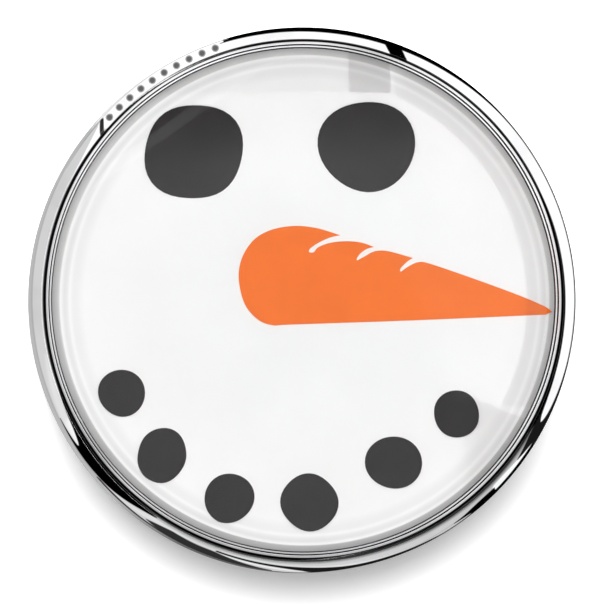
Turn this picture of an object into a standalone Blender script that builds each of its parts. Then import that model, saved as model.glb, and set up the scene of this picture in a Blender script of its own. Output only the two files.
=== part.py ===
"""Snap button charm: a snowman's face printed under a clear glass dome.

A turned metal bezel holds the white printed disc behind the glass, a retaining ring pressed
in from the front holds the glass, and a ball stud riveted to the back snaps into the socket
of a bracelet, ring or pendant.

Frame: the origin is the centre of the stud's flat end. The face looks along -Y and the stud
points along +Y; +X is to the right of the picture and +Z is its top.

Lengths are in millimetres and become metres when a mesh is made. "Height" is a distance in
front of the stud's end, so a point at height h lies at y = -h.
"""

import bmesh
import bpy
from math import asin, cos, hypot, pi, radians, sin, sqrt, tan

MM = 0.001
WELD = 1e-8  # metres; joins the points that a turned profile makes on its axis

# ---- driving dimensions -------------------------------------------------------------------
OUTER_RADIUS = 10.0  # over the bezel's rim
RIM_WIDTH = 0.445  # the half-round rim, seen as a ring around the glass
RIM_RISE = 0.25  # the rim stands this far above the edge of the glass's crown
GROOVE_WIDTH = 0.05  # fine dark groove between the rim and the retaining ring
STUD_HEIGHT = 3.4  # from the stud's end to the bezel's flat back
STUD_RADIUS = 2.8  # the ball that snaps into the holder
FLANGE_RADIUS = 4.3  # the stud's flange
FLANGE_THICKNESS = 0.45
STUD_BORE_RADIUS = 1.95  # room for the rivet's flared end
STUD_END_THICKNESS = 0.7
FLOOR_THICKNESS = 0.5  # the bezel's floor
BACK_ROUND = 0.6  # radius of the edge between the bezel's back and its side
RECESS_RADIUS = 4.8  # shallow recess in the back, in which the stud's flange sits
RECESS_DEPTH = 0.2
RECESS_SLOPE = 0.1  # how far the recess widens towards the back
SPACER_THICKNESS = 0.75
CARD_THICKNESS = 0.25
INK_THICKNESS = 0.04
GLUE_THICKNESS = 0.1
GLASS_EDGE = 1.3  # thickness of the glass where its crown begins
GLASS_BEVEL = 0.3  # how far the bevel around the crown drops
CROWN_EDGE_RADIUS = 8.9
CROWN_SPHERE_RADIUS = 19.0
REFRACTIVE_INDEX = 1.52
SLIT = 0.03  # clearance between pieces that touch on the real charm

# ---- levels, from the stud's end forward --------------------------------------------------
BACK = STUD_HEIGHT
FLOOR = BACK + FLOOR_THICKNESS
SPACER_BACK = FLOOR + SLIT
CARD_BACK = SPACER_BACK + SPACER_THICKNESS + SLIT
CARD_FACE = CARD_BACK + CARD_THICKNESS
INK_BACK = CARD_FACE + SLIT
GLUE_BACK = INK_BACK + INK_THICKNESS + SLIT
GLASS_BACK = GLUE_BACK + GLUE_THICKNESS + SLIT
CROWN_EDGE = GLASS_BACK + GLASS_EDGE
BEVEL_FOOT = CROWN_EDGE - GLASS_BEVEL
RIM_TOP = CROWN_EDGE + RIM_RISE

# ---- radii, from the rim inward -----------------------------------------------------------
WALL_INNER_RADIUS = OUTER_RADIUS - RIM_WIDTH
RING_OUTER_RADIUS = WALL_INNER_RADIUS - GROOVE_WIDTH
RING_WALL = 0.15
BEAD_CENTRE_RADIUS = 9.43  # the bright bead around the ring's front
BEAD_RADIUS = 0.05
BEAD_DROP = 0.2  # from the rim's top down to the bead's centre
LIP_CENTRE_RADIUS = 9.31  # the smaller, lower bead along the lip
LIP_BEAD_RADIUS = 0.035
LIP_RADIUS = 9.235  # where metal gives way to glass
LIP_GAP = 0.1  # the lip's underside lies this far in front of the bevel's foot
LIP_HEIGHT = 0.13  # from the lip's underside to the centre of its bead
LIP_EDGE = 0.055  # thickness of the lip where metal gives way to glass
GLASS_RADIUS = RING_OUTER_RADIUS - RING_WALL - SLIT
CARD_RADIUS = 9.2
SPACER_RADIUS = 8.8
SPACER_HOLE_RADIUS = 2.8
RIVET_HOLE_RADIUS = 1.6
RIVET_SHANK_RADIUS = 1.55
RIVET_HEAD_RADIUS = 2.4
RIVET_HEAD_THICKNESS = 0.35
RIVET_CHAMFER = 0.2
RIVET_FLARE_RADIUS = 1.85
RIVET_BORE_RADIUS = 1.15
RIVET_END = 0.85  # level of the flared end

TURN_STEPS = 72
SMALL_TURN_STEPS = 48
COAL_POINTS = 40


# ---- materials ----------------------------------------------------------------------------
def principled(name, colour, roughness, metallic=0.0, transmission=0.0):
    """A Principled material of one linear colour."""
    material = bpy.data.materials.new(name)
    material.use_nodes = True
    shader = material.node_tree.nodes["Principled BSDF"]
    shader.inputs["Base Color"].default_value = (*colour, 1.0)
    shader.inputs["Roughness"].default_value = roughness
    shader.inputs["Metallic"].default_value = metallic
    shader.inputs["Transmission Weight"].default_value = transmission
    material.diffuse_color = (*colour, 1.0)
    return material


# ---- mesh helpers -------------------------------------------------------------------------
def add_object(name, bm, material):
    """Puts a finished bmesh into the scene as the object called name."""
    bmesh.ops.recalc_face_normals(bm, faces=bm.faces)
    mesh = bpy.data.meshes.new(name)
    bm.to_mesh(mesh)
    bm.free()
    mesh.shade_smooth()
    mesh.set_sharp_from_angle(angle=radians(35))
    mesh.materials.append(material)
    piece = bpy.data.objects.new(name, mesh)
    bpy.context.scene.collection.objects.link(piece)
    return piece


def turned(name, profile, material, steps=TURN_STEPS):
    """A solid of revolution about the charm's axis, from (radius, height) corners.

    A profile whose ends both lie on the axis makes a plain body. Any other profile is closed
    and makes a ring.
    """
    bm = bmesh.new()
    corners = [bm.verts.new((radius * MM, -height * MM, 0.0)) for radius, height in profile]
    edges = [bm.edges.new(pair) for pair in zip(corners, corners[1:])]
    if profile[0][0] > 0:
        edges.append(bm.edges.new((corners[-1], corners[0])))
    bmesh.ops.spin(bm, geom=corners + edges, cent=(0, 0, 0), axis=(0, 1, 0),
                   angle=2 * pi, steps=steps, use_merge=True)
    bmesh.ops.remove_doubles(bm, verts=bm.verts, dist=WELD)
    return add_object(name, bm, material)


def arc(centre, radius, start, end, steps):
    """Points on an arc in the (radius, height) plane; angles in degrees, 0 pointing outward."""
    angles = [radians(start + (end - start) * step / steps) for step in range(steps + 1)]
    return [(centre[0] + radius * cos(angle), centre[1] + radius * sin(angle))
            for angle in angles]


def smooth_through(points, steps=5):
    """Catmull-Rom curve through the points, straight at both ends, without its last point."""
    padded = [points[0], *points, points[-1]]
    curve = []
    for p0, p1, p2, p3 in zip(padded, padded[1:], padded[2:], padded[3:]):
        for step in range(steps):
            t = step / steps
            curve.append(tuple(
                b + 0.5 * t * ((c - a) + t * ((2 * a - 5 * b + 4 * c - d)
                                              + t * (3 * b - a - 3 * c + d)))
                for a, b, c, d in zip(p0, p1, p2, p3)))
    return curve


def under_glass(x, z):
    """Where a point that is seen at (x, z) from straight in front lies on the card.

    The dome magnifies the picture: a sight line parallel to the axis bends towards it at the
    crown and travels on through the glass to the card.
    """
    seen = hypot(x, z)
    if seen == 0:
        return x, z
    slope = asin(seen / CROWN_SPHERE_RADIUS)
    bend = slope - asin(sin(slope) / REFRACTIVE_INDEX)
    edge_drop = sqrt(CROWN_SPHERE_RADIUS ** 2 - CROWN_EDGE_RADIUS ** 2)
    crown = sqrt(CROWN_SPHERE_RADIUS ** 2 - seen ** 2) - edge_drop
    depth = CROWN_EDGE + crown - CARD_FACE
    shrink = (seen - depth * tan(bend)) / seen
    return x * shrink, z * shrink


def printed(name, outline, material):
    """A film of ink on the card, from its outline as it is seen through the dome."""
    bm = bmesh.new()
    corners = []
    for x, z in outline:
        card_x, card_z = under_glass(x, z)
        corners.append(bm.verts.new((card_x * MM, -INK_BACK * MM, card_z * MM)))
    back = bm.faces.new(corners)
    raised = bmesh.ops.extrude_face_region(bm, geom=[back], use_keep_orig=True)
    front = [item for item in raised["geom"] if isinstance(item, bmesh.types.BMVert)]
    bmesh.ops.translate(bm, verts=front, vec=(0, -INK_THICKNESS * MM, 0))
    return add_object(name, bm, material)


# ---- metalwork ----------------------------------------------------------------------------
def bezel_shell(chrome):
    """Floor, side and half-round rim in one, with a recess and a hole for the stud."""
    rim_radius = RIM_WIDTH / 2
    back_edge = arc((OUTER_RADIUS - BACK_ROUND, BACK + BACK_ROUND), BACK_ROUND, -90, 0, 4)
    rim = arc((OUTER_RADIUS - rim_radius, RIM_TOP - rim_radius), rim_radius, 0, 180, 8)
    recess = BACK + RECESS_DEPTH
    profile = [(RIVET_HOLE_RADIUS, recess), (RECESS_RADIUS, recess),
               (RECESS_RADIUS + RECESS_SLOPE, BACK), *back_edge, *rim,
               (WALL_INNER_RADIUS, FLOOR), (RIVET_HOLE_RADIUS, FLOOR)]
    turned("bezel_shell", profile, chrome)


def retaining_ring(chrome):
    """A thin sleeve inside the rim: a bead around its front, then a lip over the glass."""
    foot = FLOOR + SLIT
    inside = RING_OUTER_RADIUS - RING_WALL
    bead = arc((BEAD_CENTRE_RADIUS, RIM_TOP - BEAD_DROP), BEAD_RADIUS, 0, 180, 4)
    lip_under = BEVEL_FOOT + LIP_GAP
    lip_centre = lip_under + LIP_HEIGHT
    lip = arc((LIP_CENTRE_RADIUS, lip_centre), LIP_BEAD_RADIUS, 0, 180, 4)
    profile = [(RING_OUTER_RADIUS, foot), (RING_OUTER_RADIUS, lip_centre),
               (BEAD_CENTRE_RADIUS + BEAD_RADIUS, lip_centre), *bead,
               (BEAD_CENTRE_RADIUS - BEAD_RADIUS, lip_centre), *lip,
               (LIP_RADIUS, lip_under + LIP_EDGE), (LIP_RADIUS, lip_under),
               (inside, lip_under), (inside, foot)]
    turned("retaining_ring", profile, chrome)


def snap_stud(plating):
    """The ball stud: a round flange, a waist and a ball with a flat end, hollow for the rivet."""
    flange = BACK + RECESS_DEPTH - SLIT
    ball = [(1.9, 0.0), (2.4, 0.2), (2.7, 0.6), (STUD_RADIUS, 1.1), (2.72, 1.6), (2.5, 2.05),
            (2.35, 2.45), (2.4, 2.85), (2.6, 3.05)]
    chamfer = 0.15
    disc = [(FLANGE_RADIUS - chamfer, flange - FLANGE_THICKNESS),
            (FLANGE_RADIUS, flange - FLANGE_THICKNESS + chamfer), (FLANGE_RADIUS, flange)]
    bore = [(RIVET_HOLE_RADIUS, flange), (RIVET_HOLE_RADIUS, 2.0), (STUD_BORE_RADIUS, 1.3),
            (STUD_BORE_RADIUS, STUD_END_THICKNESS), (0.0, STUD_END_THICKNESS)]
    turned("snap_stud", [(0.0, 0.0), *ball, *disc, *bore], plating, SMALL_TURN_STEPS)


def stud_rivet(brass):
    """Tubular rivet: its head lies on the bezel's floor and its end is flared in the stud."""
    head = FLOOR + SLIT
    head_face = head + RIVET_HEAD_THICKNESS
    flare = [(RIVET_BORE_RADIUS, RIVET_END), (RIVET_FLARE_RADIUS, RIVET_END),
             (RIVET_FLARE_RADIUS, 1.25), (RIVET_SHANK_RADIUS, 1.85)]
    profile = [*flare, (RIVET_SHANK_RADIUS, head), (RIVET_HEAD_RADIUS, head),
               (RIVET_HEAD_RADIUS, head_face - RIVET_CHAMFER),
               (RIVET_HEAD_RADIUS - RIVET_CHAMFER, head_face),
               (RIVET_BORE_RADIUS + RIVET_CHAMFER, head_face),
               (RIVET_BORE_RADIUS, head_face - RIVET_CHAMFER)]
    turned("stud_rivet", profile, brass, SMALL_TURN_STEPS)


# ---- glass and picture --------------------------------------------------------------------
def glass_dome(glass):
    """Flat-backed lens: a short side, a bevel under the retaining lip and a shallow crown."""
    rim_angle = asin(CROWN_EDGE_RADIUS / CROWN_SPHERE_RADIUS)
    centre = CROWN_EDGE - CROWN_SPHERE_RADIUS * cos(rim_angle)
    rings = 9
    crown = []
    for ring in range(rings):
        angle = rim_angle * (1 - ring / rings)
        crown.append((CROWN_SPHERE_RADIUS * sin(angle), centre + CROWN_SPHERE_RADIUS * cos(angle)))
    chamfer = 0.1
    profile = [(0.0, GLASS_BACK), (GLASS_RADIUS - chamfer, GLASS_BACK),
               (GLASS_RADIUS, GLASS_BACK + chamfer), (GLASS_RADIUS, BEVEL_FOOT),
               *crown, (0.0, centre + CROWN_SPHERE_RADIUS)]
    turned("glass_dome", profile, glass)


def disc_stack(card, glue, plastic):
    """The printed card, the clear glue that bonds it to the glass, and the spacer behind."""
    turned("print_disc", disc_profile(CARD_RADIUS, CARD_BACK, CARD_THICKNESS), card)
    turned("clear_adhesive", disc_profile(CARD_RADIUS, GLUE_BACK, GLUE_THICKNESS), glue)
    spacer_face = SPACER_BACK + SPACER_THICKNESS
    turned("spacer_ring", [(SPACER_HOLE_RADIUS, SPACER_BACK), (SPACER_RADIUS, SPACER_BACK),
                           (SPACER_RADIUS, spacer_face), (SPACER_HOLE_RADIUS, spacer_face)],
           plastic)


def disc_profile(radius, back, thickness):
    """Profile of a plain disc."""
    return [(0.0, back), (radius, back), (radius, back + thickness), (0.0, back + thickness)]


# Each coal is x, z and mean radius as seen, then its lobes: how many bulges run around it,
# how far they stand out as a share of the radius, and the direction of one of them.
COALS = {
    "coal_eye_left": (-4.00, 5.45, 1.80, [(2, 0.04, 28), (4, 0.03, 38)]),
    "coal_eye_right": (2.37, 5.67, 1.73, [(2, 0.04, 0), (3, 0.03, 39)]),
    "mouth_coal_1": (-6.65, -3.42, 0.86, [(2, 0.02, -48), (3, 0.015, 43)]),
    "mouth_coal_2": (-5.17, -5.71, 0.95, [(2, 0.07, 77), (5, 0.01, -12)]),
    "mouth_coal_3": (-2.69, -7.28, 0.91, [(2, 0.02, 36), (3, 0.015, 10)]),
    "mouth_coal_4": (0.26, -7.43, 1.05, [(2, 0.02, -37), (4, 0.02, 0)]),
    "mouth_coal_5": (3.36, -5.96, 1.005, [(2, 0.055, -8), (3, 0.01, 60)]),
    "mouth_coal_6": (5.67, -4.17, 0.855, [(2, 0.025, 111), (4, 0.01, -34)]),
}

# The carrot's outline as seen, in stretches that are smooth inside and meet at corners. It
# starts at the tip and runs along the underside, around the thick end and over the creases.
CARROT_STRETCHES = [
    [(9.17, -0.40), (8.95, -0.48), (8.50, -0.53), (4.00, -0.74), (-0.40, -0.90),
     (-1.10, -0.93), (-1.65, -0.73), (-2.12, -0.20), (-2.34, 0.55), (-2.34, 1.20),
     (-2.12, 1.80), (-1.70, 2.30), (-1.05, 2.61), (-0.24, 2.72), (0.55, 2.63), (1.37, 2.38)],
    [(1.37, 2.38), (1.00, 2.30), (0.58, 2.11), (0.27, 1.90), (0.21, 1.76)],
    [(0.21, 1.76), (0.39, 1.75), (0.55, 1.93), (1.00, 2.10), (1.60, 2.16), (2.15, 2.11),
     (2.61, 1.95)],
    [(2.61, 1.95), (2.35, 1.88), (2.12, 1.72), (1.98, 1.53), (1.99, 1.45)],
    [(1.99, 1.45), (2.26, 1.60), (2.60, 1.78), (2.96, 1.82), (3.38, 1.74), (4.05, 1.55)],
    [(4.05, 1.55), (3.85, 1.43), (3.66, 1.25), (3.57, 1.12), (3.60, 1.04)],
    [(3.60, 1.04), (3.90, 1.25), (4.27, 1.40), (4.68, 1.34), (6.00, 0.90), (7.76, 0.275),
     (8.80, -0.15), (9.17, -0.40)],
]


def coal_outline(x, z, radius, lobes):
    """A round coal whose radius swells and dips a little on the way around."""
    outline = []
    for point in range(COAL_POINTS):
        angle = 2 * pi * point / COAL_POINTS
        swell = sum(amount * cos(count * (angle - radians(towards)))
                    for count, amount, towards in lobes)
        reach = radius * (1 + swell)
        outline.append((x + reach * cos(angle), z + reach * sin(angle)))
    return outline


def snowman_face(coal_ink, carrot_ink):
    """The coal eyes, the row of coals that is the mouth, and the carrot nose."""
    for name, (x, z, radius, lobes) in COALS.items():
        printed(name, coal_outline(x, z, radius, lobes), coal_ink)
    carrot = [point for stretch in CARROT_STRETCHES for point in smooth_through(stretch)]
    printed("carrot_nose", carrot, carrot_ink)


# ---- the charm ----------------------------------------------------------------------------
def build():
    for leftover in list(bpy.data.objects):
        bpy.data.objects.remove(leftover, do_unlink=True)
    chrome = principled("bright_chrome", (0.80, 0.80, 0.82), 0.06, metallic=1.0)
    nickel = principled("stud_nickel", (0.66, 0.64, 0.60), 0.18, metallic=1.0)
    brass = principled("rivet_brass", (0.72, 0.55, 0.28), 0.28, metallic=1.0)
    glass = principled("clear_glass", (0.97, 0.98, 0.98), 0.02, transmission=1.0)
    glue = principled("clear_glue", (0.95, 0.96, 0.95), 0.10, transmission=1.0)
    card = principled("white_card", (0.88, 0.88, 0.87), 0.55)
    plastic = principled("white_plastic", (0.80, 0.80, 0.78), 0.45)
    coal_ink = principled("coal_ink", (0.062, 0.058, 0.060), 0.50)
    carrot_ink = principled("carrot_ink", (0.93, 0.21, 0.055), 0.50)

    bezel_shell(chrome)
    retaining_ring(chrome)
    snap_stud(nickel)
    stud_rivet(brass)
    glass_dome(glass)
    disc_stack(card, glue, plastic)
    snowman_face(coal_ink, carrot_ink)


build()
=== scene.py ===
"""Looks for the snap button charm: fine turned metal, a polished dome that wets the printed card,
and a pale studio.

The CAD part gives every radius and level. Lengths here are in millimetres, and "height" is
the distance in front of the stud's end, so a point at height h lies at y = -h.
"""

from math import asin, cos, hypot, pi, radians, sin

import bpy
import numpy as np
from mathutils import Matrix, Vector


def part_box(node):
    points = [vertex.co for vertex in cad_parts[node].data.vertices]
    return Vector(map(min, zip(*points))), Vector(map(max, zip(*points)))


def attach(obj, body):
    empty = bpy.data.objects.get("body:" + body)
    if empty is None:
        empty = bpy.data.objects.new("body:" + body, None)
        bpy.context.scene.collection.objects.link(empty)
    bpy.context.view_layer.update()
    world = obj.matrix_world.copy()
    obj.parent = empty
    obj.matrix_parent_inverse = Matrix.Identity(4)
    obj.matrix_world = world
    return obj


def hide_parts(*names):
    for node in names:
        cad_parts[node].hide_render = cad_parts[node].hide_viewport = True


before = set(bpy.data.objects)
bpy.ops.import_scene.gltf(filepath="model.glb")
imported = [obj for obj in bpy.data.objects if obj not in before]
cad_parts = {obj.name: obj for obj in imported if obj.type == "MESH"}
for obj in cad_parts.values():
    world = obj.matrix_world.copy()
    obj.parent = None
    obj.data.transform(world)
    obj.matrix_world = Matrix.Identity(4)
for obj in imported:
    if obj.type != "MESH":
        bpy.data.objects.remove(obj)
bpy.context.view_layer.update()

MM = 0.001
BODY = "root"


# ---- sizes read from the frame ------------------------------------------------------------
def reach(node):
    """(outer radius, back height, front height) of a turned CAD node."""
    low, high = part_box(node)
    return high.x / MM, -high.y / MM, -low.y / MM


OUTER_RADIUS, BACK, RIM_TOP = reach("bezel_shell")
RING_OUTER_RADIUS, RING_FOOT, BEAD_TOP = reach("retaining_ring")
GLASS_RADIUS, GLASS_BACK, CREST = reach("glass_dome")
CARD_RADIUS, CARD_BACK, CARD_FACE = reach("print_disc")

# ---- sizes of the fine surface ------------------------------------------------------------
GROOVE_WIDTH = 0.05
WALL_INNER_RADIUS = RING_OUTER_RADIUS + GROOVE_WIDTH
RIM_WIDTH = OUTER_RADIUS - WALL_INNER_RADIUS
SLIT = 0.03  # clearance that the CAD keeps between pieces that touch on the real charm
FLOOR = RING_FOOT - SLIT
BACK_ROUND = 0.6
RECESS_RADIUS = 4.8
RECESS_DEPTH = 0.2
RECESS_SLOPE = 0.1
HOLE_RADIUS = 1.6
STUD_BORE_RADIUS = 1.95
STUD_END_THICKNESS = 0.7
RING_WALL = 0.15
BEAD_CENTRE_RADIUS = 9.43
BEAD_RADIUS = 0.05
LIP_CENTRE_RADIUS = 9.31
LIP_BEAD_RADIUS = 0.035
LIP_RADIUS = 9.235
LIP_HEIGHT = 0.13
LIP_EDGE = 0.055
RIM_RISE = 0.25
GLASS_BEVEL = 0.3
LIP_GAP = 0.1
CROWN_EDGE = RIM_TOP - RIM_RISE
BEVEL_FOOT = CROWN_EDGE - GLASS_BEVEL
LIP_UNDER = BEVEL_FOOT + LIP_GAP
CROWN_EDGE_RADIUS = 8.9
CROWN_SPHERE_RADIUS = 19.0
GLASS_CHAMFER = 0.1
REFRACTIVE_INDEX = 1.52
GLASS_WETS = 0.01  # the glass reaches this far into the card, so no air lies between them

ROUND_STEPS = 360
DIMPLE_FROM, DIMPLE_TO = 109.5, 137.0  # degrees around the rim, 0 to the right, 90 at the top
DIMPLES = 10
DIMPLE_RADIUS = 0.165
DIMPLE_DEPTH = 0.06
DIMPLE_MARGIN = 2.0  # degrees of finer mesh beyond the row's ends


# ---- meshes -------------------------------------------------------------------------------
def arc(centre, radius, start, end, steps):
    """Points on an arc in the (radius, height) plane; angles in degrees, 0 pointing outward."""
    angles = [radians(start + (end - start) * step / steps) for step in range(steps + 1)]
    return [(centre[0] + radius * cos(angle), centre[1] + radius * sin(angle))
            for angle in angles]


def even_turn(steps=ROUND_STEPS):
    """Angles in degrees that share a full turn evenly."""
    return [360.0 * step / steps for step in range(steps)]


def smooth_through(points, steps=6):
    """Catmull-Rom curve through the points, its last point included."""
    padded = [points[0], *points, points[-1]]
    curve = []
    for p0, p1, p2, p3 in zip(padded, padded[1:], padded[2:], padded[3:]):
        for step in range(steps):
            t = step / steps
            curve.append(tuple(
                b + 0.5 * t * ((c - a) + t * ((2 * a - 5 * b + 4 * c - d)
                                              + t * (3 * b - a - 3 * c + d)))
                for a, b, c, d in zip(p0, p1, p2, p3)))
    return curve + [points[-1]]


def turned(name, profile, turn, relief=None):
    """A closed turned mesh. profile is (radius, height) corners, up the outside and down the
    inside; a corner of radius 0 becomes one point on the axis. relief(radius, height, angle)
    gives how far a point is pressed in towards the back, kept as the attribute "pressed"."""
    points, rows, drops = [], [], []
    for radius, height in profile:
        if radius == 0:
            rows.append([len(points)] * len(turn))
            points.append((0.0, -height * MM, 0.0))
            drops.append(0.0)
            continue
        rows.append(list(range(len(points), len(points) + len(turn))))
        for angle in turn:
            drop = relief(radius, height, angle) if relief else 0.0
            drops.append(drop)
            bearing = radians(angle)
            points.append((radius * cos(bearing) * MM, (drop - height) * MM,
                           radius * sin(bearing) * MM))
    closed = profile[0][0] > 0
    faces = []
    for near, far in zip(rows, rows[1:] + rows[:1] if closed else rows[1:]):
        for here in range(len(turn)):
            after = (here + 1) % len(turn)
            corners = [near[here], near[after], far[after], far[here]]
            face = list(dict.fromkeys(corners))
            if len(face) > 2:
                faces.append(face)
    mesh = bpy.data.meshes.new(name)
    mesh.from_pydata(points, [], faces)
    mesh.attributes.new("pressed", "FLOAT", "POINT").data.foreach_set("value", drops)
    mesh.validate()
    mesh.shade_smooth()
    mesh.set_sharp_from_angle(angle=radians(40))
    piece = bpy.data.objects.new(name, mesh)
    bpy.context.scene.collection.objects.link(piece)
    return piece


def stands_for(piece, slot, *nodes):
    """The piece rides on the charm and is shown instead of these CAD nodes."""
    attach(piece, BODY)
    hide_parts(*nodes)


def dimple_relief(radius, height, angle):
    """Depth of the row of small round dimples on the rim's crest."""
    near_row = DIMPLE_FROM - DIMPLE_MARGIN < angle < DIMPLE_TO + DIMPLE_MARGIN
    if not near_row or height < RIM_TOP - 0.2:
        return 0.0
    spacing = (DIMPLE_TO - DIMPLE_FROM) / (DIMPLES - 1)
    nearest = round((angle - DIMPLE_FROM) / spacing)
    nearest = min(max(nearest, 0), DIMPLES - 1)
    centre_radius = OUTER_RADIUS - RIM_WIDTH / 2
    along = radians(angle - DIMPLE_FROM - nearest * spacing) * centre_radius
    away = hypot(along, radius - centre_radius) / DIMPLE_RADIUS
    return DIMPLE_DEPTH * (1 - away * away) if away < 1 else 0.0


def bezel_mesh():
    """Floor, side and half-round rim, with a row of dimples at the upper left of the rim."""
    rim_radius = RIM_WIDTH / 2
    back_edge = arc((OUTER_RADIUS - BACK_ROUND, BACK + BACK_ROUND), BACK_ROUND, -90, 0, 12)
    rim = arc((OUTER_RADIUS - rim_radius, RIM_TOP - rim_radius), rim_radius, 0, 180, 72)
    recess = BACK + RECESS_DEPTH
    profile = [(HOLE_RADIUS, recess), (RECESS_RADIUS, recess),
               (RECESS_RADIUS + RECESS_SLOPE, BACK), *back_edge, *rim,
               (WALL_INNER_RADIUS, FLOOR), (HOLE_RADIUS, FLOOR)]
    fine_step, coarse_step = 0.11, 0.75
    angle, turn = 0.0, []
    while angle < 360.0 - 1e-6:
        turn.append(angle)
        near_row = DIMPLE_FROM - DIMPLE_MARGIN < angle < DIMPLE_TO + DIMPLE_MARGIN
        angle += fine_step if near_row else coarse_step
    piece = turned("bezel", profile, turn, dimple_relief)
    stands_for(piece, "bright_chrome", "bezel_shell")
    return piece


def ring_mesh():
    """Retaining ring: a bright bead, a valley, and a smaller bead on the lip over the glass."""
    inside = RING_OUTER_RADIUS - RING_WALL
    bead = arc((BEAD_CENTRE_RADIUS, BEAD_TOP - BEAD_RADIUS), BEAD_RADIUS, 0, 180, 16)
    lip_centre = LIP_UNDER + LIP_HEIGHT
    lip = arc((LIP_CENTRE_RADIUS, lip_centre), LIP_BEAD_RADIUS, 0, 180, 12)
    profile = [(RING_OUTER_RADIUS, RING_FOOT), (RING_OUTER_RADIUS, lip_centre),
               (BEAD_CENTRE_RADIUS + BEAD_RADIUS, lip_centre), *bead,
               (BEAD_CENTRE_RADIUS - BEAD_RADIUS, lip_centre), *lip,
               (LIP_RADIUS, LIP_UNDER + LIP_EDGE), (LIP_RADIUS, LIP_UNDER),
               (inside, LIP_UNDER), (inside, RING_FOOT)]
    piece = turned("retaining_bead", profile, even_turn())
    stands_for(piece, "bright_chrome", "retaining_ring")
    return piece


def dome_mesh():
    """The glass and the clear glue behind it in one body, down to the face of the card."""
    rim_angle = asin(CROWN_EDGE_RADIUS / CROWN_SPHERE_RADIUS)
    centre = CREST - CROWN_SPHERE_RADIUS
    rings = 40
    crown = []
    for ring in range(rings):
        angle = rim_angle * (1 - ring / rings)
        crown.append((CROWN_SPHERE_RADIUS * sin(angle), centre + CROWN_SPHERE_RADIUS * cos(angle)))
    back = CARD_FACE - GLASS_WETS
    profile = [(0.0, back), (GLASS_RADIUS - GLASS_CHAMFER, back),
               (GLASS_RADIUS, back + GLASS_CHAMFER), (GLASS_RADIUS, BEVEL_FOOT), *crown,
               (0.0, CREST)]
    piece = turned("crystal_dome", profile, even_turn())
    stands_for(piece, "clear_glass", "glass_dome", "clear_adhesive")
    return piece


def stud_mesh():
    """The ball stud with its waist and flange, hollow for the rivet."""
    radius, end, flange = reach("snap_stud")
    ball = smooth_through([(2.4, 0.16), (2.7, 0.55), (2.8, 1.1), (2.72, 1.6), (2.5, 2.05),
                           (2.36, 2.45), (2.40, 2.85), (2.62, 3.05)])
    end_edge = arc((1.95, 0.32), 0.32, -90, -40, 5)
    flange_round = 0.14
    disc = arc((radius - flange_round, flange - flange_round - 0.25), flange_round, -90, 0, 6)
    profile = [(0.0, end), *end_edge, *ball, (3.9, flange - 0.42), *disc, (radius, flange),
               (HOLE_RADIUS, flange), (HOLE_RADIUS, 2.0), (STUD_BORE_RADIUS, 1.3),
               (STUD_BORE_RADIUS, STUD_END_THICKNESS), (0.0, STUD_END_THICKNESS)]
    piece = turned("ball_stud", profile, even_turn(160))
    stands_for(piece, "stud_nickel", "snap_stud")
    return piece


# ---- material helpers ---------------------------------------------------------------------
class Nodes:
    """Short names for making and joining shader nodes in one tree."""

    def __init__(self, tree):
        self.tree = tree

    def add(self, kind, **settings):
        node = self.tree.nodes.new(kind)
        for key, value in settings.items():
            setattr(node, key, value)
        return node

    def join(self, source, socket):
        self.tree.links.new(source, socket)

    def feed(self, socket, value):
        """Joins a socket, or sets a plain number, vector or colour."""
        if isinstance(value, bpy.types.NodeSocket):
            self.join(value, socket)
        else:
            socket.default_value = value

    def math(self, operation, *values, clamp=False):
        node = self.add("ShaderNodeMath", operation=operation, use_clamp=clamp)
        for socket, value in zip(node.inputs, values):
            self.feed(socket, value)
        return node.outputs[0]

    def smooth_step(self, value, start, end, low=0.0, high=1.0):
        """low up to start, high from end on, with a smooth change between."""
        node = self.add("ShaderNodeMapRange", interpolation_type="SMOOTHSTEP")
        for socket, number in zip(node.inputs, (value, start, end, low, high)):
            self.feed(socket, number)
        return node.outputs[0]

    def mix(self, factor, first, second):
        """Mix of two colours."""
        node = self.add("ShaderNodeMix", data_type="RGBA")
        self.feed(node.inputs["Factor"], factor)
        self.feed(node.inputs[6], first)
        self.feed(node.inputs[7], second)
        return node.outputs[2]

    def noise(self, position, scale, detail=2.0, roughness=0.5):
        node = self.add("ShaderNodeTexNoise")
        self.feed(node.inputs["Vector"], position)
        node.inputs["Scale"].default_value = scale
        node.inputs["Detail"].default_value = detail
        node.inputs["Roughness"].default_value = roughness
        return node.outputs["Fac"]

    def ramp(self, factor, stops):
        """Colour ramp from (position, grey level) stops."""
        node = self.add("ShaderNodeValToRGB")
        elements = node.color_ramp.elements
        while len(elements) < len(stops):
            elements.new(0.5)
        for element, (position, grey) in zip(elements, stops):
            element.position = position
            element.color = (grey, grey, grey, 1.0)
        self.feed(node.inputs[0], factor)
        return node.outputs[0]

    def bump(self, height, strength, distance):
        node = self.add("ShaderNodeBump")
        node.inputs["Strength"].default_value = strength
        node.inputs["Distance"].default_value = distance
        self.feed(node.inputs["Height"], height)
        return node.outputs[0]


def new_material(name):
    """(material, its Nodes, its Principled shader)"""
    material = bpy.data.materials.new(name)
    material.use_nodes = True
    shader = material.node_tree.nodes["Principled BSDF"]
    return material, Nodes(material.node_tree), shader


def object_position(nodes):
    return nodes.add("ShaderNodeTexCoord").outputs["Object"]


def axis_distance(nodes, position):
    """Distance from the charm's axis, in millimetres."""
    split = nodes.add("ShaderNodeSeparateXYZ")
    nodes.join(position, split.inputs[0])
    across = nodes.math("MULTIPLY", split.outputs["X"], split.outputs["X"])
    upward = nodes.math("MULTIPLY", split.outputs["Z"], split.outputs["Z"])
    return nodes.math("MULTIPLY", nodes.math("SQRT", nodes.math("ADD", across, upward)), 1 / MM)


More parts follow.
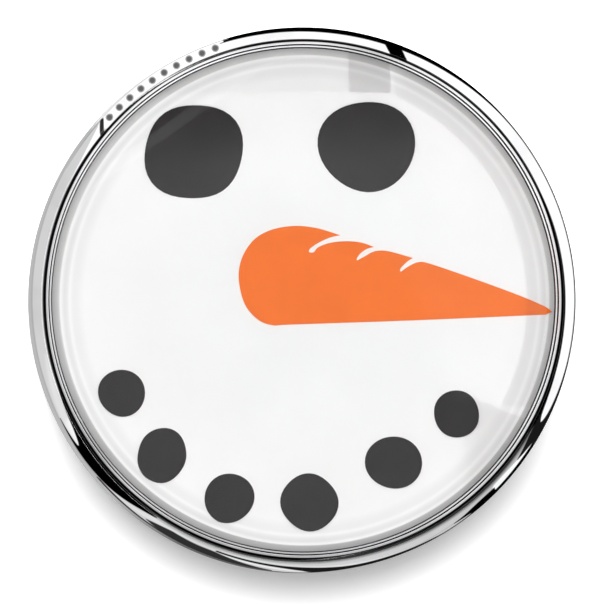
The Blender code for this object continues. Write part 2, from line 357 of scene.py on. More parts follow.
# ---- materials ----------------------------------------------------------------------------
PAINTED_SHADE_RADII = [(9.468, 9.568), (9.335, 9.390), (9.200, 9.283)]  # radii of the grooves that are painted dark, as painted shade
GROOVE_FADE = 0.006


def painted_groove_shade(nodes, position):
    """Up to 1 in the fine grooves around the glass and in the dimples, 0 elsewhere: painted shade
    that stands in for the shade and dark reflections in these hollows."""
    radius = axis_distance(nodes, position)
    cover = 0.0
    for inner, outer in PAINTED_SHADE_RADII:
        past_inner = nodes.smooth_step(radius, inner - GROOVE_FADE, inner + GROOVE_FADE)
        before_outer = nodes.smooth_step(radius, outer - GROOVE_FADE, outer + GROOVE_FADE,
                                         1.0, 0.0)
        cover = nodes.math("MAXIMUM", cover, nodes.math("MULTIPLY", past_inner, before_outer))
    split = nodes.add("ShaderNodeSeparateXYZ")
    nodes.join(position, split.inputs[0])
    front = nodes.smooth_step(nodes.math("MULTIPLY", split.outputs["Y"], -1 / MM),
                              FLOOR + 0.1, FLOOR + 0.2)
    cover = nodes.math("MULTIPLY", cover, front)
    pressed = nodes.add("ShaderNodeAttribute", attribute_name="pressed").outputs["Fac"]
    dimples = nodes.smooth_step(pressed, 0.1 * DIMPLE_DEPTH, 0.8 * DIMPLE_DEPTH, 0.0, 0.85)
    return nodes.math("MAXIMUM", cover, dimples)


def plated_metal(name, colour, roughness, scratch, turning_pitch=None, shaded_grooves=False):
    """Plated metal: hairline scratches, a faint cloudiness and, if asked, turning marks or grooves
    painted dark as painted shade."""
    material, nodes, shader = new_material(name)
    position = object_position(nodes)
    stretch = nodes.add("ShaderNodeMapping")
    stretch.inputs["Scale"].default_value = (1.0, 9.0, 1.0)
    nodes.join(position, stretch.inputs["Vector"])
    hairlines = nodes.noise(stretch.outputs[0], 5200.0, detail=4.0, roughness=0.65)
    clouds = nodes.noise(position, 420.0, detail=3.0)
    marks = nodes.smooth_step(hairlines, 0.56, 0.74)
    dull = nodes.smooth_step(clouds, 0.35, 0.75, roughness, roughness + 0.05)
    rough = nodes.math("ADD", dull, nodes.math("MULTIPLY", marks, scratch))
    bright = (*colour, 1.0)
    worn = (*[channel * 0.88 for channel in colour], 1.0)
    tone = nodes.mix(nodes.smooth_step(clouds, 0.45, 0.8), bright, worn)
    shader.inputs["Metallic"].default_value = 1.0
    if shaded_grooves:
        # painted shade: the grooves and dimples turn dark, dull and hardly metallic
        groove_shade = painted_groove_shade(nodes, position)
        tone = nodes.mix(groove_shade, tone, (0.012, 0.012, 0.012, 1.0))
        rough = nodes.math("MAXIMUM", rough, nodes.math("MULTIPLY", groove_shade, 0.5))
        nodes.join(nodes.math("SUBTRACT", 1.0, groove_shade), shader.inputs["Metallic"])
        shader.inputs["Specular IOR Level"].default_value = 0.1
    nodes.join(tone, shader.inputs["Base Color"])
    nodes.join(rough, shader.inputs["Roughness"])
    height = hairlines
    if turning_pitch:
        rings = nodes.math("SINE", nodes.math("MULTIPLY", axis_distance(nodes, position),
                                              2 * pi / turning_pitch))
        height = nodes.math("ADD", nodes.math("MULTIPLY", rings, 0.5), hairlines)
    nodes.join(nodes.bump(height, 0.12, 0.000004), shader.inputs["Normal"])
    return material


def clear_glass():
    """Polished glass that lets lamp light through to the card, with a faint handling haze."""
    material, nodes, shader = new_material("clear_glass_polished")
    position = object_position(nodes)
    smear = nodes.noise(position, 260.0, detail=4.0, roughness=0.6)
    nodes.join(nodes.smooth_step(smear, 0.5, 0.8, 0.0, 0.03), shader.inputs["Roughness"])
    shader.inputs["Base Color"].default_value = (0.985, 0.995, 0.99, 1.0)
    shader.inputs["Transmission Weight"].default_value = 1.0
    shader.inputs["IOR"].default_value = REFRACTIVE_INDEX
    open_way = nodes.add("ShaderNodeBsdfTransparent")
    path = nodes.add("ShaderNodeLightPath")
    choice = nodes.add("ShaderNodeMixShader")
    nodes.join(path.outputs["Is Shadow Ray"], choice.inputs[0])
    nodes.join(shader.outputs[0], choice.inputs[1])
    nodes.join(open_way.outputs[0], choice.inputs[2])
    nodes.join(choice.outputs[0], material.node_tree.nodes["Material Output"].inputs["Surface"])
    return material


# (radius, grey) of the soft rings of painted shade and painted reflection around the card's edge,
# seen through the dome
PAINTED_EDGE_SHADE = [(0.0, 1.0), (7.80, 1.0), (8.08, 0.93), (8.24, 0.92), (8.36, 1.0), (8.44, 0.89),
                (8.54, 0.82), (8.62, 0.92), (8.69, 1.0), (8.73, 0.67), (8.79, 0.61),
                (8.86, 0.57), (8.94, 0.49), (9.05, 0.42)]
EDGE_SHADE_OFFSET = 0.09  # the painted shade rings sit this far to the right of the card's middle
WETTED_SHEEN = 0.1  # print and card hardly shine where glue wets them


def printed_card():
    """Coated white card: fine fibre grain, and soft painted shade around its edge, darker towards
    the bottom.
    """
    material, nodes, shader = new_material("white_card_coated")
    position = object_position(nodes)
    fibre = nodes.noise(position, 9000.0, detail=3.0)
    mottle = nodes.noise(position, 330.0, detail=2.0)
    shifted = nodes.add("ShaderNodeVectorMath", operation="SUBTRACT")
    nodes.join(position, shifted.inputs[0])
    shifted.inputs[1].default_value = (EDGE_SHADE_OFFSET * MM, 0.0, 0.0)
    radius = axis_distance(nodes, shifted.outputs[0])
    # painted shade and painted reflection: grey rings around the card's edge
    edge = nodes.ramp(nodes.math("DIVIDE", radius, CARD_RADIUS),
                      [(stop / CARD_RADIUS, grey) for stop, grey in PAINTED_EDGE_SHADE])
    split = nodes.add("ShaderNodeSeparateXYZ")
    nodes.join(position, split.inputs[0])
    # painted shade: the card's edge is darker towards the bottom, as if lit from above
    low = nodes.smooth_step(nodes.math("MULTIPLY", split.outputs["Z"], 1 / MM), 2.0, -7.0,
                            0.0, 0.2)
    shade = nodes.math("MULTIPLY", low, nodes.smooth_step(radius, 8.67, 8.73))
    edge = nodes.mix(shade, edge, (0.0, 0.0, 0.0, 1.0))
    paper = nodes.mix(nodes.smooth_step(mottle, 0.3, 0.7), (0.885, 0.89, 0.895, 1.0),
                      (0.905, 0.91, 0.915, 1.0))
    tone = nodes.add("ShaderNodeMix", data_type="RGBA", blend_type="MULTIPLY")
    tone.inputs["Factor"].default_value = 1.0
    nodes.join(paper, tone.inputs[6])
    nodes.join(edge, tone.inputs[7])
    nodes.join(tone.outputs[2], shader.inputs["Base Color"])
    nodes.join(nodes.smooth_step(fibre, 0.3, 0.7, 0.5, 0.62), shader.inputs["Roughness"])
    nodes.join(nodes.bump(fibre, 0.2, 0.000003), shader.inputs["Normal"])
    shader.inputs["Specular IOR Level"].default_value = WETTED_SHEEN
    return material


def printed_ink(name, colour, dark_colour, sheen_roughness):
    """Screen-printed ink: slight unevenness of tone and a fine grain."""
    material, nodes, shader = new_material(name)
    position = object_position(nodes)
    uneven = nodes.noise(position, 900.0, detail=4.0, roughness=0.6)
    grain = nodes.noise(position, 12000.0, detail=2.0)
    tone = nodes.mix(nodes.smooth_step(uneven, 0.3, 0.72), (*colour, 1.0), (*dark_colour, 1.0))
    nodes.join(tone, shader.inputs["Base Color"])
    nodes.join(nodes.smooth_step(grain, 0.3, 0.7, sheen_roughness, sheen_roughness + 0.12),
               shader.inputs["Roughness"])
    nodes.join(nodes.bump(grain, 0.05, 0.000001), shader.inputs["Normal"])
    shader.inputs["Specular IOR Level"].default_value = WETTED_SHEEN
    return material


def moulded_plastic():
    """White moulded plastic with a fine matt texture."""
    material, nodes, shader = new_material("white_plastic_moulded")
    position = object_position(nodes)
    texture = nodes.noise(position, 5000.0, detail=3.0)
    nodes.join(nodes.mix(texture, (0.78, 0.78, 0.76, 1.0), (0.84, 0.84, 0.82, 1.0)),
               shader.inputs["Base Color"])
    nodes.join(nodes.smooth_step(texture, 0.3, 0.7, 0.4, 0.55), shader.inputs["Roughness"])
    nodes.join(nodes.bump(texture, 0.2, 0.000004), shader.inputs["Normal"])
    return material


def dress(piece, material):
    """Gives the piece this one material."""
    piece.data.materials.clear()
    piece.data.materials.append(material)


# ---- studio: camera and stage -------------------------------------------------------------
VIEW_DISTANCE = 800.0
VIEW_LEFT, VIEW_BELOW = 3.6, 1.4  # degrees off the charm's axis
VIEW_HALF_WIDTH = 11.148  # at the rim's level
AIM_RIGHT, AIM_BELOW = -0.006, 0.164  # the view's centre lies a little off the charm's axis
BACKDROP_GAP = 0.3  # behind the stud's end
FLOOR_LEVEL = -14.5
STAGE_REACH = 500.0


def link(thing):
    bpy.context.scene.collection.objects.link(thing)
    return thing


def aim(thing, direction):
    """Turns a camera or lamp to look along a direction, with +Z up."""
    thing.rotation_mode = "QUATERNION"
    thing.rotation_quaternion = Vector(direction).to_track_quat("-Z", "Y")


def place_camera():
    """A long lens in front of the face, a touch to the left of its axis and below it."""
    data = bpy.data.cameras.new("camera")
    camera = link(bpy.data.objects.new("camera", data))
    target = Vector((AIM_RIGHT, -RIM_TOP, -AIM_BELOW)) * MM
    left, below = radians(VIEW_LEFT), radians(VIEW_BELOW)
    away = Vector((-sin(left) * cos(below), -cos(left) * cos(below), -sin(below)))
    camera.location = target + away * VIEW_DISTANCE * MM
    aim(camera, -away)
    data.lens = data.sensor_width / 2 * VIEW_DISTANCE / VIEW_HALF_WIDTH
    data.clip_start, data.clip_end = 0.01, 10.0
    bpy.context.scene.camera = camera


def pale_stage():
    """Pale paper behind and below the charm. From behind it is clear, so that the charm's
    back can be looked at, and it stands in no other ray's way."""
    wall, floor, reach_out = BACKDROP_GAP, FLOOR_LEVEL, STAGE_REACH
    points = [(side, y, z) for y, z in [(wall, reach_out), (wall, floor), (-reach_out, floor)]
              for side in (-reach_out, reach_out)]
    mesh = bpy.data.meshes.new("sweep")
    mesh.from_pydata([tuple(MM * value for value in point) for point in points], [],
                     [(0, 2, 3, 1), (2, 4, 5, 3)])
    sweep = link(bpy.data.objects.new("sweep", mesh))
    material, nodes, shader = new_material("pale_paper")
    shader.inputs["Base Color"].default_value = (0.93, 0.93, 0.93, 1.0)
    shader.inputs["Roughness"].default_value = 0.9
    shader.inputs["Specular IOR Level"].default_value = 0.0
    # painted light: the paper glows, more from the charm's middle upwards
    shader.inputs["Emission Color"].default_value = (1.0, 1.0, 1.0, 1.0)
    split = nodes.add("ShaderNodeSeparateXYZ")
    nodes.join(object_position(nodes), split.inputs[0])
    level = nodes.math("MULTIPLY", split.outputs["Z"], 1 / MM)
    glow = nodes.smooth_step(level, *BACKDROP_RISES, BACKDROP_GLOW, BACKDROP_GLOW + BACKDROP_RISE)
    nodes.join(glow, shader.inputs["Emission Strength"])
    open_way = nodes.add("ShaderNodeBsdfTransparent")
    path = nodes.add("ShaderNodeLightPath")
    geometry = nodes.add("ShaderNodeNewGeometry")
    from_front = nodes.math("SUBTRACT", path.outputs["Is Camera Ray"],
                            geometry.outputs["Backfacing"], clamp=True)
    choice = nodes.add("ShaderNodeMixShader")
    nodes.join(from_front, choice.inputs[0])
    nodes.join(open_way.outputs[0], choice.inputs[1])
    nodes.join(shader.outputs[0], choice.inputs[2])
    nodes.join(choice.outputs[0], material.node_tree.nodes["Material Output"].inputs["Surface"])
    dress(sweep, material)
    on_paper = bpy.data.collections.new("table_lamp_receivers")
    on_paper.objects.link(sweep)
    key_lamp("table_lamp", TABLE_POWER).light_linking.receiver_collection = on_paper


# ---- studio: what the rim mirrors ---------------------------------------------------------
# A small tent runs along each round edge, so every bearing has its own reflection. Places on
# it are given as a bearing in degrees (0 to the right, 90 at the top) and a place across the
# edge, 0 at its inner side and 1 at its outer side.
RIM_TENT_RADIUS = 0.5
INNER_SKIRT_RADIUS = 0.26  # the inner skirt hangs in the groove beside the rim
BEAD_TENT_RADIUS = 0.08
LIP_TENT_RADIUS = 0.05
INNER_SKIRT, OUTER_SKIRT = -38.0, 35.0  # leans beyond which the rim's tent is not clear
SKIRT_OVERLAP = 6.0  # degrees by which the clear part reaches on behind the inner skirt
TENT_LEVELS = [(0, 1.12), (139, 1.12), (140, 0.68), (204, 0.70), (230, 0.68), (300, 0.66),
               (328, 0.55), (332, 1.12), (360, 1.12)]
BEAD_LEVELS = [(0, 0.75), (25, 1.0), (62, 1.0), (72, 0.68), (84, 0.88), (125, 1.05),
               (168, 0.70), (200, 0.62), (216, 0.38), (228, 0.58), (242, 0.48), (280, 0.53),
               (312, 0.68), (336, 0.82), (360, 0.75)]
# brightness, softness of the edge in mm, and the outline as (bearing, place) points
TENT_PATCHES = [
    # shade along the inner side, and greyer outer side at the left
    (0.03, 0.075, [(218, 0.20), (250, 0.17), (280, 0.22), (335, 0.20), (335, -0.4), (218, -0.4)]),
    (0.45, 0.025, [(142, 0.94), (200, 0.93), (235, 0.97), (235, 1.1), (142, 1.1)]),
    (0.30, 0.015, [(139, 0.90), (144, 0.90), (151, 0.88), (144, 0.84), (139, 0.84)]),
    # bright places beside the dark ones
    (1.12, 0.015, [(138.9, 0.80), (141, 0.10), (147, 0.04), (155, 0.08), (148.5, 0.20),
                   (143.5, 0.44)]),
    (0.82, 0.090, [(213, 0.72), (211, 0.50), (206, 0.28), (198, 0.22), (192, 0.34), (197, 0.60),
                   (204, 0.82), (210, 0.80)]),
    (0.98, 0.120, [(216, 0.74), (213, 0.45), (208, 0.22), (207, 0.48), (209, 0.74)]),
    # dark line along the inner side of the left half, and a grey streak at the lower right
    (0.03, 0.012, [(139.5, 0.04), (160, 0.07), (200, 0.08), (215, 0.05), (215, -0.3),
                   (139.5, -0.3)]),
    (0.45, 0.012, [(294.5, 0.81), (298, 0.76), (303, 0.72), (307, 0.71), (307, 0.75),
                   (303, 0.76), (298, 0.80)]),
    # light streaks between the dark shapes
    (0.80, 0.035, [(226, 0.86), (232, 0.58), (236, 0.36), (251, 0.44), (251, 0.52), (242, 0.50),
                   (236, 0.62), (232, 0.82)]),
    (0.98, 0.030, [(250.5, 0.60), (256, 0.65), (262, 0.72), (267, 0.82), (270, 0.92),
                   (265, 0.87), (261, 0.80), (256, 0.71)]),
    (0.85, 0.045, [(252, 0.38), (262, 0.46), (272, 0.60), (282, 0.79), (292, 0.82), (282, 0.66),
                   (270, 0.50), (260, 0.37)]),
    (1.08, 0.020, [(315.4, 0.80), (326.5, 0.82), (327.4, 0.72), (325, 0.62), (323, 0.54),
                   (319, 0.42), (315.4, 0.46)]),
    # dark line along the outer side of the right half, with its crossbar
    (0.10, 0.010, [(328, 1.00), (360, 1.00), (382, 0.965), (402, 0.93), (402, 0.88),
                   (382, 0.89), (360, 0.90), (328, 0.86)]),
    (0.00, 0.015, [(36, 0.90), (50, 0.99), (60, 1.06), (90, 1.08), (107, 1.06), (107.2, 1.0),
                   (107.2, 0.77), (107, 0.73), (90, 0.65), (75, 0.63), (60, 0.70), (46, 0.83)]),
    (0.00, 0.020, [(66.3, -0.1), (66.4, -0.08), (68.7, 0.72), (68.8, 0.74), (72.4, 0.74),
                   (72.5, 0.72), (70.3, -0.08), (70.2, -0.1)]),
    (0.55, 0.010, [(107, 0.96), (125, 0.95), (140, 0.94), (140, 0.89), (125, 0.90), (107, 0.91)]),
    # dark slanting edge after the dimples
    (0.03, 0.010, [(137.9, 0.82), (138.9, 0.82), (141.3, 0.02), (140.3, 0.02)]),
    # dark shapes, counterclockwise
    (0.00, 0.015, [(206, 0.90), (214, 0.93), (220, 0.90), (224, 0.84), (228, 0.68), (232, 0.45),
                   (236, 0.22), (230, 0.10), (218, 0.04), (208, 0.06), (198, 0.02),
                   (207.5, 0.27), (210.5, 0.41), (212.4, 0.57), (213.0, 0.70), (211.8, 0.80)]),
    (0.03, 0.010, [(221.5, 0.95), (230, 0.96), (242, 0.99), (242, 1.1), (221.5, 1.1)]),
    (0.03, 0.015, [(234.3, 0.83), (237, 0.93), (241, 1.0), (247, 1.04), (262.8, 1.04),
                   (260, 0.92), (256, 0.80), (252, 0.66), (250, 0.60), (246, 0.60),
                   (242, 0.55), (240, 0.54), (236.5, 0.69)]),
    (0.01, 0.012, [(251, 0.46), (255, 0.48), (260, 0.52), (265, 0.57), (270, 0.63), (275, 0.71),
                   (280, 0.79), (290, 0.83), (300, 0.93), (300, 1.07), (280, 1.05), (275, 1.04),
                   (271.5, 0.98), (269.5, 0.86), (265, 0.70), (260, 0.62), (255, 0.56),
                   (251, 0.53)]),
    (0.01, 0.010, [(297, 0.95), (309, 0.94), (318, 0.92), (330, 0.90), (330, 1.07), (297, 1.07)]),
    (0.00, 0.012, [(304, 0.76), (307, 0.69), (309, 0.62), (311, 0.58), (313, 0.57),
                   (315.3, 0.60), (315.4, 0.64), (315.4, 0.78), (316, 0.80), (328, 0.80),
                   (329, 0.97), (315, 0.98), (310, 0.98), (308.7, 0.92), (307.5, 0.84)]),
    (0.01, 0.018, [(323.3, 0.54), (325, 0.61), (327.5, 0.72), (328.3, 0.82), (328.5, 1.06),
                   (336, 1.06), (346, 1.05), (346, 0.92), (339, 0.82), (335.5, 0.75),
                   (333.6, 0.65), (332.8, 0.53), (333.6, 0.38), (335.2, 0.27), (338, 0.20),
                   (334, 0.16), (330, 0.22), (326.5, 0.38)]),
    (0.00, 0.015, [(322, -0.05), (329, 0.08), (335, 0.22), (345, 0.15), (360, 0.125),
                   (372, 0.09), (380, 0.04), (385, -0.04), (385, -0.2), (322, -0.2)]),
]
DARK_GROWTH = 0.012  # mm; dark shapes beside bright ones look smaller than they are
# the table right beside the side wall lies in shadow, and the wall mirrors it; the ring hangs
# just in front of the bezel's back, where the back can't mirror it
FOOT_SHADOW_RADII = (10.005, 10.22)
FOOT_SHADOW_RISE = 0.05
FOOT_SHADOW_LEVELS = [(0, 0.5), (225, 0.5), (245, 0.13), (262, 0.10), (300, 0.3), (360, 0.5)]
# (height, brightness) of the sleeve that the side wall mirrors when it is seen from the side
SLEEVE_RADIUS = 10.32
SLEEVE_LEVELS = [(3.0, 0.25), (3.9, 0.4), (4.7, 0.8), (5.7, 0.9), (6.3, 0.5), (6.8, 0.35)]


def soft_step(value, start, end):
    """0 up to start, 1 from end on, with a smooth change between; works on arrays."""
    part = np.clip((value - start) / (end - start), 0.0, 1.0)
    return part * part * (3 - 2 * part)


def painted_over(level, cover, brightness):
    return level + cover * (brightness - level)


def bead_level(bearing, place):
    """Brightness that the retaining bead shows, the same all across it."""
    return np.interp(bearing, *zip(*BEAD_LEVELS)) + 0 * place


def patch_cover(bearing, place, outline, softness, growth):
    """1 inside an outline on the tent, grown by this many mm, 0 outside it, with a soft edge
    between."""
    degree = radians(1) * (OUTER_RADIUS - RIM_WIDTH / 2)
    along, across = bearing * degree, place * RIM_WIDTH
    corners = [(u * degree, v * RIM_WIDTH) for u, v in smooth_through([*outline, outline[0]])]
    nearest, inside = np.full(along.shape, 9.0), np.zeros(along.shape, bool)
    for (u0, v0), (u1, v1) in zip(corners, corners[1:]):
        run, rise = u1 - u0, v1 - v0
        share = ((along - u0) * run + (across - v0) * rise) / max(run ** 2 + rise ** 2, 1e-12)
        share = np.clip(share, 0.0, 1.0)
        away = np.hypot(along - u0 - share * run, across - v0 - share * rise)
        nearest = np.minimum(nearest, away)
        if rise != 0:
            crossed = ((v0 > across) != (v1 > across))
            inside ^= crossed & (along < u0 + (across - v0) * run / rise)
    return soft_step(np.where(inside, nearest, -nearest) + growth, -softness, softness)


def tent_level(bearing, place):
    """Brightness that the rim shows at a bearing and a place across it."""
    level = np.interp(bearing, *zip(*TENT_LEVELS))
    for brightness, softness, outline in TENT_PATCHES:
        for whole_turn in (0, 360):
            along = bearing + whole_turn
            near = (along > min(outline)[0] - 1) & (along < max(outline)[0] + 1)
            growth = DARK_GROWTH if brightness < 0.3 else 0.0
            cover = patch_cover(along[near], place[near], outline, softness, growth)
            level[near] = painted_over(level[near], cover, brightness)
    return level


def glowing_grid(name, points, levels, receivers, clear=True):
    """A sheet of light seen in the reflections of the receivers only. points is an array
    (rows, columns, 3) in millimetres, levels is its brightness (rows, columns). A clear sheet
    also lets through what lies behind it."""
    rows, columns = levels.shape
    corner = np.arange(rows * columns).reshape(rows, columns)
    faces = np.stack([corner[:-1, :-1], corner[:-1, 1:], corner[1:, 1:], corner[1:, :-1]], -1)
    mesh = bpy.data.meshes.new(name)
    mesh.from_pydata((points.reshape(-1, 3) * MM).tolist(), [], faces.reshape(-1, 4).tolist())
    glow = mesh.attributes.new("glow", "FLOAT", "POINT")
    glow.data.foreach_set("value", levels.ravel().astype(np.float32))
    sheet = link(bpy.data.objects.new(name, mesh))
    material = bpy.data.materials.new(name)
    material.use_nodes = True
    nodes = Nodes(material.node_tree)
    material.node_tree.nodes.clear()
    attribute = nodes.add("ShaderNodeAttribute", attribute_name="glow")
    light = nodes.add("ShaderNodeEmission")
    nodes.join(attribute.outputs["Fac"], light.inputs["Strength"])
    surface = light.outputs[0]
    if clear:
        both = nodes.add("ShaderNodeAddShader")
        nodes.join(surface, both.inputs[0])
        nodes.join(nodes.add("ShaderNodeBsdfTransparent").outputs[0], both.inputs[1])
        surface = both.outputs[0]
    nodes.join(surface, nodes.add("ShaderNodeOutputMaterial").inputs["Surface"])
    material.cycles.emission_sampling = "NONE"
    dress(sheet, material)
    sheet.visible_camera = False
    sheet.visible_diffuse = False
    sheet.visible_transmission = False
    sheet.visible_shadow = False
    linked = bpy.data.collections.new(name + "_receivers")
    for piece in receivers:
        linked.objects.link(piece)
    sheet.light_linking.receiver_collection = linked


def ring_sheet(name, edge, tent_radius, lean_range, levels_at, receivers, columns=721,
               clear=True):
    """Part of a tent around a round edge, given as its centre's radius and height and its own
    radius. It covers what the edge mirrors where its surface leans by this range of degrees, 0
    facing the front. levels_at gives the brightness at a bearing and a place across."""
    centre_radius, centre_height, edge_radius = edge
    start, end = lean_range
    bearing, lean = np.meshgrid(np.linspace(0, 360, columns),
                                np.radians(np.linspace(start, end, round(end - start) + 1)))
    tilt = 2 * lean - np.arcsin(edge_radius / tent_radius * np.sin(lean))
    radius = centre_radius + tent_radius * np.sin(tilt)
    height = centre_height + tent_radius * np.cos(tilt)
    turn = np.radians(bearing)
    points = np.stack([radius * np.cos(turn), -height, radius * np.sin(turn)], -1)
    glowing_grid(name, points, levels_at(bearing, 0.5 + 0.5 * np.sin(lean)), receivers, clear)


def ring_tents(bezel, ring):
    """The tents of the rim, of the retaining ring's bead and of its lip, and the shadow that
    the lowest part of the side wall mirrors."""
    rim_radius = RIM_WIDTH / 2
    rim = (OUTER_RADIUS - rim_radius, RIM_TOP - rim_radius, rim_radius)
    for name, radius, lean_range, clear in (
            ("rim_tent_inner_skirt", INNER_SKIRT_RADIUS, (-90, INNER_SKIRT), False),
            ("rim_tent", RIM_TENT_RADIUS, (INNER_SKIRT - SKIRT_OVERLAP, OUTER_SKIRT), True),
            ("rim_tent_outer_skirt", RIM_TENT_RADIUS, (OUTER_SKIRT, 90), False)):
        ring_sheet(name, rim, radius, lean_range, tent_level, [bezel], 3601, clear)
    bead = (BEAD_CENTRE_RADIUS, BEAD_TOP - BEAD_RADIUS, BEAD_RADIUS)
    ring_sheet("bead_tent", bead, BEAD_TENT_RADIUS, (-60, 60), bead_level, [ring])
    lip = (LIP_CENTRE_RADIUS, LIP_UNDER + LIP_HEIGHT, LIP_BEAD_RADIUS)
    ring_sheet("lip_tent", lip, LIP_TENT_RADIUS, (-60, 60), bead_level, [ring])
    turn, radius = np.meshgrid(np.radians(np.linspace(0, 360, 361)), FOOT_SHADOW_RADII)
    height = BACK + FOOT_SHADOW_RISE + 0 * turn
    points = np.stack([radius * np.cos(turn), -height, radius * np.sin(turn)], -1)
    levels = np.interp(np.degrees(turn), *zip(*FOOT_SHADOW_LEVELS))
    glowing_grid("foot_shadow", points, levels, [bezel], False)


def wall_sleeve(bezel):
    """A sleeve of light around the side wall, banded from back to front."""
    turn, height = np.meshgrid(np.radians(np.linspace(0, 360, 361)),
                               np.linspace(SLEEVE_LEVELS[0][0], SLEEVE_LEVELS[-1][0], 39))
    points = np.stack([SLEEVE_RADIUS * np.cos(turn), -height, SLEEVE_RADIUS * np.sin(turn)], -1)
    levels = np.interp(height, *zip(*SLEEVE_LEVELS)) * (0.85 + 0.15 * np.cos(2 * turn))
    glowing_grid("wall_sleeve", points, levels, [bezel], False)


# ---- studio: what the dome mirrors --------------------------------------------------------
FRONT_RADIUS = 400.0


def dome_level(x, z):
    """Brightness mirrored by the dome at x to the right of its middle and z above it."""
    level = 0.86 + 0.26 * soft_step(np.hypot(x + 2.0, z + 3.5), 6.6, 7.8)
    level = level * (1 - 0.60 * soft_step(z, 4.6, 7.6))
    below_window = -0.363 * (x - 3.65) - 0.932 * (z + 2.4)
    level = level * (1 - 0.40 * soft_step(below_window, -0.1, 0.5) * soft_step(x, 4.0, 5.4))
    above_left = -0.567 * x + 0.824 * z
    level = level * (1 - 0.25 * soft_step(above_left, 5.2, 7.8))
    level = level + 0.50 * soft_step(above_left, 7.83, 7.89)
    return level * (1 - 0.64 * soft_step(above_left, 8.24, 8.32))


def front_reflector(receivers):
    """A big bowl of light in front of the charm."""
    bearing, off_axis = np.meshgrid(np.linspace(0, 360, 361), np.linspace(0, 110, 276))
    turn, tilt = np.radians(bearing), np.radians(off_axis)
    seen = CROWN_SPHERE_RADIUS * np.sin(tilt / 2)
    # the camera stands off the charm's axis, which shifts what it sees mirrored
    left, below = np.sin(np.radians((VIEW_LEFT, VIEW_BELOW))) * CROWN_SPHERE_RADIUS / 2
    levels = dome_level(seen * np.cos(turn) - left, seen * np.sin(turn) - below)
    levels = levels * (1 - soft_step(off_axis, 92, 108))
    points = FRONT_RADIUS * np.stack([np.sin(tilt) * np.cos(turn), -np.cos(tilt),
                                      np.sin(tilt) * np.sin(turn)], -1)
    glowing_grid("front_reflector", points, levels, receivers)


# ---- studio: lamps ------------------------------------------------------------------------
FILL = 0.335
REAR_GLOW = 0.55  # what the metal mirrors from behind, and from the table
BACKDROP_GLOW = 0.15
BACKDROP_RISE = 0.45  # the paper's painted glow is stronger from the charm's middle upwards
BACKDROP_RISES = (-8.0, -0.5)  # levels between which it grows brighter
KEY_PLACE = (-12.0, -230.0, 26.0)
KEY_SIZE = 76.0
KEY_POWER = 0.235
TABLE_POWER = 0.40
WINDOW_DISTANCE = 300.0
WINDOW_POWER = 1.17


def key_lamp(name, power):
    """A round soft lamp in front of the charm and a little above it."""
    data = bpy.data.lights.new(name, "AREA")
    data.shape = "DISK"
    data.size = KEY_SIZE * MM
    data.energy = power
    lamp = link(bpy.data.objects.new(name, data))
    lamp.location = Vector(KEY_PLACE) * MM
    aim(lamp, -lamp.location)
    lamp.visible_camera = False
    lamp.visible_glossy = False
    lamp.visible_transmission = False
    return lamp


def light_studio():
    """An even fill for matt surfaces, and the soft key lamp."""
    world = bpy.data.worlds.new("studio")
    world.use_nodes = True
    bpy.context.scene.world = world
    nodes = Nodes(world.node_tree)
    background = world.node_tree.nodes["Background"]
    background.inputs["Color"].default_value = (1.0, 1.0, 1.0, 1.0)
    path = nodes.add("ShaderNodeLightPath")
    split = nodes.add("ShaderNodeSeparateXYZ")
    nodes.join(nodes.add("ShaderNodeTexCoord").outputs["Generated"], split.inputs[0])
    rear = nodes.smooth_step(split.outputs["Y"], 0.15, 0.45, 0.0, REAR_GLOW)
    level = FILL
    for ray, brightness in (("Is Glossy Ray", rear), ("Is Camera Ray", 1.0)):
        change = nodes.math("SUBTRACT", brightness, level)
        level = nodes.math("ADD", level, nodes.math("MULTIPLY", path.outputs[ray], change))
    nodes.join(level, background.inputs["Strength"])
    key_lamp("key", KEY_POWER)


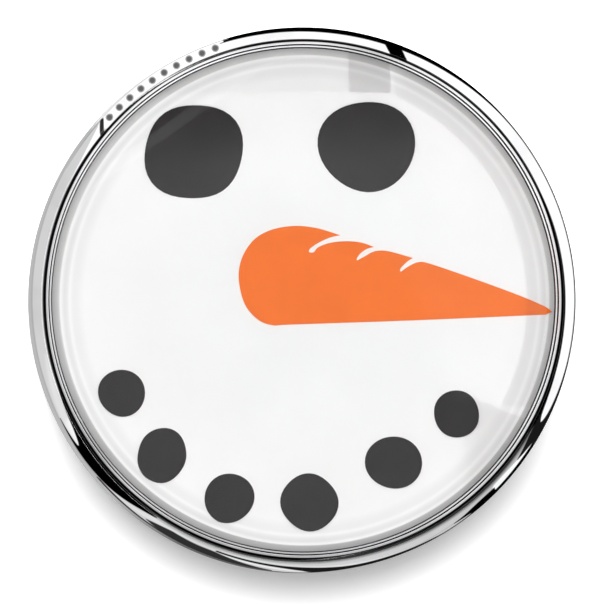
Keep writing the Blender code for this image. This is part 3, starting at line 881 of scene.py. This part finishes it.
def window_light():
    """A hard-edged window's light on the face, from straight ahead. It is weaker beside the
    window's right edge, below its lower edge and behind the bar over its top, and it never
    leaves the glass."""
    data = bpy.data.lights.new("window", "SPOT")
    data.energy = WINDOW_POWER
    data.shadow_soft_size = 0.03 * MM
    data.spot_size = radians(8)
    data.spot_blend = 0.0
    data.use_nodes = True
    lamp = link(bpy.data.objects.new("window", data))
    lamp.location = Vector((0.0, -WINDOW_DISTANCE, 0.0)) * MM
    aim(lamp, (0, 1, 0))
    lamp.visible_glossy = False
    nodes = Nodes(data.node_tree)
    split = nodes.add("ShaderNodeSeparateXYZ")
    nodes.join(nodes.add("ShaderNodeTexCoord").outputs["Normal"], split.inputs[0])
    depth = nodes.math("DIVIDE", WINDOW_DISTANCE - CARD_FACE,
                       nodes.math("ABSOLUTE", split.outputs["Z"]))
    across = nodes.math("MULTIPLY", split.outputs["X"], depth)
    upward = nodes.math("MULTIPLY", split.outputs["Y"], depth)
    squared = nodes.math("ADD", nodes.math("MULTIPLY", across, across),
                         nodes.math("MULTIPLY", upward, upward))
    level = nodes.smooth_step(nodes.math("SQRT", squared), 9.0, 9.2, 1.0, 0.0)
    right = nodes.math("MULTIPLY", nodes.smooth_step(nodes.math("SQRT", squared), 7.95, 8.00),
                       nodes.math("MULTIPLY", nodes.smooth_step(across, 3.2, 3.6),
                                  nodes.smooth_step(upward, -3.80, -3.70)))
    below_edge = nodes.math("ADD", nodes.math("MULTIPLY", across, -0.363),
                            nodes.math("MULTIPLY", upward, -0.932))
    lower = nodes.math("MULTIPLY", nodes.smooth_step(below_edge, 0.98, 1.06),
                       nodes.smooth_step(across, 5.4, 6.4))
    bar = nodes.math("MULTIPLY", nodes.smooth_step(upward, 7.30, 7.38),
                     nodes.smooth_step(across, 1.6, 1.7, 0.3, 1.0))
    bar = nodes.math("MULTIPLY", bar, nodes.smooth_step(across, 3.1, 3.2, 1.0, 0.0))
    for shade, amount in ((right, 0.42), (lower, 0.45), (bar, 0.8)):
        kept = nodes.math("SUBTRACT", 1.0, nodes.math("MULTIPLY", shade, amount))
        level = nodes.math("MULTIPLY", level, kept)
    nodes.join(level, data.node_tree.nodes["Emission"].inputs["Strength"])


# ---- the charm and its studio -------------------------------------------------------------
def main():
    bpy.context.scene.view_settings.view_transform = "Standard"
    place_camera()
    chrome = plated_metal("chrome_plate", (0.93, 0.93, 0.94), 0.02, 0.10, shaded_grooves=True)
    nickel = plated_metal("nickel_plate", (0.72, 0.69, 0.64), 0.14, 0.15, turning_pitch=0.12)
    brass = plated_metal("brass_tube", (0.78, 0.58, 0.28), 0.2, 0.15, turning_pitch=0.2)
    rim = [bezel_mesh(), ring_mesh()]
    for piece in rim:
        dress(piece, chrome)
    dome = dome_mesh()
    dress(dome, clear_glass())
    stud = stud_mesh()
    dress(stud, nickel)
    plain = {"stud_rivet": brass, "spacer_ring": moulded_plastic(),
             "print_disc": printed_card(),
             "carrot_nose": printed_ink("carrot_print", (0.89, 0.168, 0.012),
                                        (0.85, 0.155, 0.010), 0.5)}
    coal = printed_ink("coal_print", (0.016, 0.0145, 0.015), (0.021, 0.019, 0.020), 0.5)
    for name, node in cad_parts.items():
        if "coal" in name:
            dress(node, coal)
        elif name in plain:
            dress(node, plain[name])
    ring_tents(*rim)
    wall_sleeve(rim[0])
    front_reflector([dome, stud, *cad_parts.values()])
    light_studio()
    window_light()
    pale_stage()


main()
